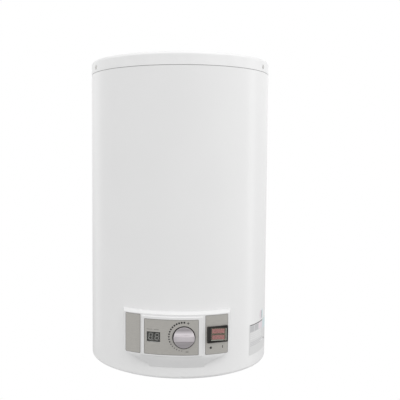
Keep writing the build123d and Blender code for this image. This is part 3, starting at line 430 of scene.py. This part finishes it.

# Painted shadow: a dark hairline round each inlay, standing in for the shade in the gap where it sits in its
# recess.
HAIR = 0.0005
HAIR_INSET = 0.0004
form = bmesh.new()
for name in ("left_inlay", "centre_inlay", "right_inlay"):
    extent = polar(name)
    turn, height = middle(extent)
    half_wide = (extent[1] - extent[0]) / 2 * pi / 180 * extent[4] - HAIR_INSET
    half_tall = (extent[3] - extent[2]) / 2 - HAIR_INSET
    for side in (-1, 1):
        mark(form, bar(side * half_wide, 0, HAIR, 2 * half_tall - 2 * HAIR), turn, height, extent[4])
        mark(form, bar(0, side * half_tall, 2 * half_wide - 2 * HAIR, HAIR), turn, height, extent[4])
finished(form, "inlay_painted_shadow_lines", GREY_INK, smooth=False)

# Two rows of ticks over the display.
TICK_ROWS = ((-0.0117, 7), (0.0016, 6))
TICK_PITCH = 0.0015
TICK_RISE = 0.0133
TICK_SIZE = (0.0009, 0.0011)
window_turn, window_height = middle(window)
form = bmesh.new()
for start, count in TICK_ROWS:
    for i in range(count):
        mark(form, bar(start + i * TICK_PITCH, TICK_RISE, *TICK_SIZE), window_turn, window_height, FACE_R)
finished(form, "display_ticks", GREY_INK, smooth=False)

# Off and on symbols under the switch.
SYMBOL_RISE = -0.0236
OFF_AT = -0.0125
OFF_RADII = (0.0013, 0.0022)
ON_AT = 0.0105
ON_SIZE = (0.0013, 0.0044)
switch_turn, switch_height = middle(switch)
form = bmesh.new()
mark(form, ring_part(OFF_AT, SYMBOL_RISE, *OFF_RADII, 0, 350), switch_turn, switch_height, SIDE_R)
mark(form, bar(ON_AT, SYMBOL_RISE, *ON_SIZE), switch_turn, switch_height, SIDE_R)
finished(form, "switch_symbols", INK, smooth=False)

# Painted highlight: a light strip along the window's far end and lower edge, laid on the paddle's clear plate
# where the well's lit inner walls show.
RIM_WIDE = 0.0016
RIM_PROUD = 0.00012
RIM_STEPS = 12
RIM_INSET = 0.0001
TOUCH = 0.000001
ROCKER_TILT = 10
pin_low, pin_high = (Vector(corner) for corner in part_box("rocker_pin"))
pivot = (pin_low + pin_high) / 2
lean = radians(switch_turn - ROCKER_TILT)
across = Vector((cos(lean), sin(lean), 0))
outward = Vector((sin(lean), -cos(lean), 0))
places = [vertex.co - pivot for vertex in NODES["rocker_window"].data.vertices]
plate = [(place.dot(across), place.z, place.dot(outward)) for place in places]
plate_u = min(u for u, v, n in plate), max(u for u, v, n in plate)
plate_v = min(v for u, v, n in plate), max(v for u, v, n in plate)


def rounded(point):
    return round(point[0], 5)


def plate_top(u):
    """How far the clear plate's dished face stands out from the pivot at u."""
    left = [point for point in plate if point[0] <= u + TOUCH]
    right = [point for point in plate if point[0] >= u - TOUCH]
    below = max(left, key=lambda point: (rounded(point), point[2]))
    above = min(right, key=lambda point: (rounded(point), -point[2]))
    if above[0] - below[0] < TOUCH:
        return max(below[2], above[2])
    return below[2] + (above[2] - below[2]) * (u - below[0]) / (above[0] - below[0])


def plate_strip(form, u0, u1, v0, v1):
    """Adds a thin strip that follows the plate's face."""
    sides = [plate_u[0] + RIM_INSET, plate_u[1] - RIM_INSET]
    stops = [min(max(u0 + (u1 - u0) * i / RIM_STEPS, sides[0]), sides[1]) for i in range(RIM_STEPS + 1)]
    corners = ((v0, -RIM_PROUD), (v0, RIM_PROUD), (v1, RIM_PROUD), (v1, -RIM_PROUD))
    rings = []
    for u in stops:
        face = pivot + across * u + outward * plate_top(u)
        rings.append([form.verts.new(face + outward * rise + Vector((0, 0, v))) for v, rise in corners])
    for first, second in zip(rings, rings[1:]):
        for i in range(len(corners)):
            j = (i + 1) % len(corners)
            form.faces.new((first[i], first[j], second[j], second[i]))
    form.faces.new(rings[0])
    form.faces.new(rings[-1])


form = bmesh.new()
plate_strip(form, plate_u[0], plate_u[1] - RIM_WIDE, plate_v[0] + RIM_INSET, plate_v[0] + RIM_WIDE)
plate_strip(form, plate_u[1] - RIM_WIDE, plate_u[1], plate_v[0] + RIM_INSET, plate_v[1] - RIM_INSET)
# The strip's pale grey-green colour is painted highlight.
rim_painted_highlight = moulded("painted_highlight_rim", (0.34, 0.35, 0.31), 0.4, 1200)
finished(form, "window_painted_highlight", rim_painted_highlight, smooth=False, body="rocker")

# The rating label: a rule along its top, a tinted heading, plain lines of bars and one small mark.
label_turn, label_height = middle(label)
label_half = (label[1] - label[0]) / 2 * pi / 180 * LABEL_R
label_top = (label[3] - label[2]) / 2


def label_piece(name, material, outlines):
    """Printed bars on the label: start and end as shares of its half-width, depth below its top, height."""
    form = bmesh.new()
    for start, end, below, tall in outlines:
        middle_share = (start + end) / 2
        outline = bar(middle_share * label_half, label_top - below - tall / 2, (end - start) * label_half, tall)
        mark(form, outline, label_turn, label_height, LABEL_R)
    finished(form, name, material, smooth=False)


MARGIN = -0.94
LINE_START = -0.92
COOL_SPAN = (0.32, 0.96)
RULE = (0.0012, 0.0013)
HEADING = (0.0034, 0.0115)
TEXT_TOP = 0.0172
TEXT_PITCH = 0.0036
TEXT_TALL = 0.0013
SMALL_TOP = 0.0345
SMALL_PITCH = 0.0030
SMALL_TALL = 0.0010
text_lines = [(LINE_START, 0.12 + 0.06 * (row % 2), TEXT_TOP + row * TEXT_PITCH, TEXT_TALL) for row in range(4)]
small_lines = [(LINE_START, 0.34 - 0.1 * row, SMALL_TOP + row * SMALL_PITCH, SMALL_TALL) for row in range(3)]
label_piece("label_rule", INK, [(MARGIN, 0.30, *RULE)])
label_piece("label_rule_end", CYAN_INK, [(*COOL_SPAN, *RULE)])
label_piece("label_heading", SILVER_INK, [(MARGIN, -0.62, *HEADING), (-0.58, -0.22, *HEADING)])
label_piece("label_warm_block", PINK_INK, [(-0.18, 0.26, *HEADING)])
label_piece("label_cool_block", CYAN_INK, [(*COOL_SPAN, 0.0034, 0.0160)])
label_piece("label_lines", PALE_INK, text_lines)
label_piece("label_small_lines", SILVER_INK, small_lines)
label_piece("label_mark", INK, [(0.46, 0.58, 0.0390, 0.0026)])
label_piece("label_mark_line", PALE_INK, [(-0.05, 0.42, 0.0392, 0.0022)])

# The round badge: a plain drop between a warm and a cool crescent.
badge_turn, badge_height = middle(badge)
badge_r = (badge[3] - badge[2]) / 2
DROP_SHIFT = 0.0005
CRESCENT = (badge_r * 0.66, badge_r * 0.97)
badge_print = (
    ("badge_drop", DROP_INK, drop(DROP_SHIFT, 0, badge_r * 0.95, badge_r * 1.5)),
    ("badge_warm", PINK_INK, ring_part(0, 0, *CRESCENT, 100, 260)),
    ("badge_cool", CYAN_INK, ring_part(0, 0, *CRESCENT, -80, 80)),
)
for name, tone, outline in badge_print:
    form = bmesh.new()
    mark(form, outline, badge_turn, badge_height, LABEL_R)
    finished(form, name, tone, smooth=False)

# The jacket's standing lock seam, up its back beside the bracket.
SEAM_TURN = 212
SEAM_HALF = 0.0052
SEAM_PROUD = 0.0007
SEAM_END = 0.007
SEAM_SUNK = 0.0003
SEAM_SHARES = ((-0.9, 0.8), (-0.78, 1), (0.55, 1), (0.7, 0.85), (0.78, 0.35), (1, 0.3))
form = bmesh.new()
section = [(-SEAM_HALF, -SEAM_SUNK), (-SEAM_HALF, 0.0002)]
section += [(SEAM_HALF * across_share, SEAM_PROUD * rise_share) for across_share, rise_share in SEAM_SHARES]
section.append((SEAM_HALF, -SEAM_SUNK))
rings = []
for height in (SEAM_END, JACKET_H / 2, JACKET_H - SEAM_END):
    rings.append([form.verts.new(at(SEAM_TURN + u / JACKET_R * 180 / pi, height, JACKET_R + rise))
                  for u, rise in section])
for lower_ring, upper_ring in zip(rings, rings[1:]):
    for i in range(len(section)):
        j = (i + 1) % len(section)
        form.faces.new((lower_ring[i], lower_ring[j], upper_ring[j], upper_ring[i]))
form.faces.new(rings[0])
form.faces.new(rings[-1])
finished(form, "jacket_seam", LOOKS["white_paint"], smooth=False)

# The two threaded pipes, each a turned tube whose lower end carries a real helix.
THREAD_PITCH = 0.001814
THREAD_DEPTH = 0.0010
THREAD_LONG = 0.020
THREAD_RELIEF = 0.00017  # how far the crests lie inside the pipe's outside
THREAD_CHAMFER = 0.0009
RUNOUT = 0.0004
PIPE_WALL = 0.00315
AROUND = 48
ROWS_PER_TURN = 6


def threaded_pipe(node):
    """A turned tube in place of the CAD pipe, with a real helix on its lower end."""
    low, high = (Vector(corner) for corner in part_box(node))
    centre_line = (low + high) / 2
    shank = (high.x - low.x) / 2
    crest = shank - THREAD_RELIEF
    bore = shank - PIPE_WALL
    rows = [(low.z, bore, False), (low.z, crest - THREAD_DEPTH, False)]
    count = round(THREAD_LONG / THREAD_PITCH * ROWS_PER_TURN)
    for i in range(count + 1):
        rows.append((low.z + THREAD_CHAMFER + (THREAD_LONG - THREAD_CHAMFER) * i / count, crest, True))
    rows += [(low.z + THREAD_LONG + RUNOUT, shank, False), (high.z, shank, False), (high.z, bore, False)]
    form = bmesh.new()
    rings = []
    for height, radius, cut in rows:
        ring = []
        for j in range(AROUND):
            share = j / AROUND
            depth = 0.0
            if cut:
                phase = ((height - low.z) / THREAD_PITCH - share) % 1
                depth = THREAD_DEPTH * min(1, max(0, 1.25 * abs(2 * phase - 1) - 0.12))
            turn = 2 * pi * share
            ring.append(form.verts.new((centre_line.x + (radius - depth) * cos(turn),
                                        centre_line.y + (radius - depth) * sin(turn), height)))
        rings.append(ring)
    for first, second in zip(rings, rings[1:] + rings[:1]):
        for j in range(AROUND):
            k = (j + 1) % AROUND
            form.faces.new((first[j], first[k], second[k], second[j]))
    piece = finished(form, node + "_threaded", LOOKS["pipe_steel"])
    piece.modifiers.new("edges", "EDGE_SPLIT").split_angle = radians(50)
    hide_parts(node)


threaded_pipe("hot_outlet_pipe")
threaded_pipe("cold_inlet_pipe")

# ---------------------------------------------------------------- light and camera

world = bpy.data.worlds.new("studio")
bpy.context.scene.world = world
world.use_nodes = True
sky = world.node_tree


def sky_math(operation, first, second):
    node = sky.nodes.new("ShaderNodeMath")
    node.operation = operation
    for socket, value in zip(node.inputs, (first, second)):
        if isinstance(value, (int, float)):
            socket.default_value = value
        else:
            sky.links.new(value, socket)
    return node.outputs[0]


def sky_ramp(value, start, end, low, high):
    node = sky.nodes.new("ShaderNodeMapRange")
    node.interpolation_type = "SMOOTHSTEP"
    node.inputs["From Min"].default_value = start
    node.inputs["From Max"].default_value = end
    node.inputs["To Min"].default_value = low
    node.inputs["To Max"].default_value = high
    sky.links.new(value, node.inputs["Value"])
    return node.outputs["Result"]


# White all round, dimmer towards the viewer, below, and overhead behind; the camera sees plain white.
axes = sky.nodes.new("ShaderNodeSeparateXYZ")
sky.links.new(sky.nodes.new("ShaderNodeTexCoord").outputs["Generated"], axes.inputs[0])
FRONT_LIGHT = 0.875
SIDE_LIGHT = 1.17
LOW_LIGHT = 0.28
HIGH_LIGHT = 1.36
REAR_OVERHEAD = 0.3
front = sky_ramp(axes.outputs["Y"], -1.0, -0.15, FRONT_LIGHT, SIDE_LIGHT)
lower = sky_ramp(axes.outputs["Z"], -0.8, 0.8, LOW_LIGHT, HIGH_LIGHT)
seen = sky.nodes.new("ShaderNodeLightPath").outputs["Is Camera Ray"]
behind = sky_ramp(axes.outputs["Y"], -0.1, 0.35, 0, 1)
overhead = sky_ramp(axes.outputs["Z"], 0.1, 0.6, 0, 1)
dimmed = sky_math("MULTIPLY", sky_math("MULTIPLY", behind, overhead), 1 - REAR_OVERHEAD)
rear = sky_math("SUBTRACT", 1.0, dimmed)
studio = sky_math("MULTIPLY", sky_math("MULTIPLY", front, rear), lower)
level_white = sky_math("ADD", sky_math("MULTIPLY", studio, sky_math("SUBTRACT", 1.0, seen)), seen)
sky.nodes["Background"].inputs["Color"].default_value = (1, 1, 1, 1)
sky.links.new(level_white, sky.nodes["Background"].inputs["Strength"])

bpy.context.scene.view_settings.view_transform = "Standard"
bpy.context.scene.view_settings.look = "None"


def softbox(name, azimuth, height, distance, width, tall, watts):
    """A plain rectangular lamp that faces the tank's axis."""
    data = bpy.data.lights.new(name, "AREA")
    data.shape = "RECTANGLE"
    data.size = width
    data.size_y = tall
    data.energy = watts
    lamp = bpy.data.objects.new(name, data)
    bpy.context.collection.objects.link(lamp)
    lamp.location = at(azimuth, height, distance)
    facing = at(azimuth, JACKET_H / 2, 0) - lamp.location
    lamp.rotation_euler = facing.to_track_quat("-Z", "Y").to_euler()


# Azimuth, height, distance, width, height of the lamp, watts.
SOFTBOXES = {
    "right_softbox": (100, 0.35, 1.5, 0.35, 1.6, 1.6),
    "left_softbox": (-125, 0.35, 1.6, 0.5, 1.6, 0.8),
    "key_softbox": (38, 1.35, 1.35, 0.7, 0.7, 3.2),
}
for name, setting in SOFTBOXES.items():
    softbox(name, *setting)

FLOOR_DROP = 1.2
FLOOR_R = 2.4
FLOOR_SIDES = 96
floor_mesh = bpy.data.meshes.new("floor")
form = bmesh.new()
bmesh.ops.create_circle(form, cap_ends=True, segments=FLOOR_SIDES, radius=FLOOR_R,
                        matrix=Matrix.Translation(AXIS - Vector((0, 0, FLOOR_DROP))))
form.to_mesh(floor_mesh)
form.free()
floor = bpy.data.objects.new("floor", floor_mesh)
bpy.context.collection.objects.link(floor)
floor.data.materials.append(moulded("pale_floor", (0.62, 0.62, 0.62), 0.8, 40, 0.0001))

CAMERA_DISTANCE = 1.2812
CAMERA_HEIGHT = 0.3956
CAMERA_TURN = radians(1.0)
CAMERA_YAW = -0.0300
CAMERA_PITCH = 0.0679
CAMERA_ROLL = 0.004
FOCAL_LENGTH = 56.95
SENSOR_WIDTH = 36
LENS_SHIFT = 0.100
spin = Matrix.Rotation(CAMERA_TURN, 3, "Z")
eye = AXIS + spin @ Vector((0, -CAMERA_DISTANCE, 0)) + Vector((0, 0, CAMERA_HEIGHT))
level_reach = cos(CAMERA_PITCH)
ahead = spin @ Vector((sin(CAMERA_YAW) * level_reach, cos(CAMERA_YAW) * level_reach, -sin(CAMERA_PITCH)))
level = spin @ Vector((cos(CAMERA_YAW), -sin(CAMERA_YAW), 0))
upright = level.cross(ahead)
right = cos(CAMERA_ROLL) * level + sin(CAMERA_ROLL) * upright
up = cos(CAMERA_ROLL) * upright - sin(CAMERA_ROLL) * level
lens = bpy.data.cameras.new("camera")
lens.lens = FOCAL_LENGTH
lens.sensor_width = SENSOR_WIDTH
lens.shift_x = LENS_SHIFT
camera = bpy.data.objects.new("camera", lens)
bpy.context.collection.objects.link(camera)
camera.matrix_world = Matrix(((right.x, up.x, -ahead.x, eye.x), (right.y, up.y, -ahead.y, eye.y),
                              (right.z, up.z, -ahead.z, eye.z), (0, 0, 0, 1)))
bpy.context.scene.camera = camera
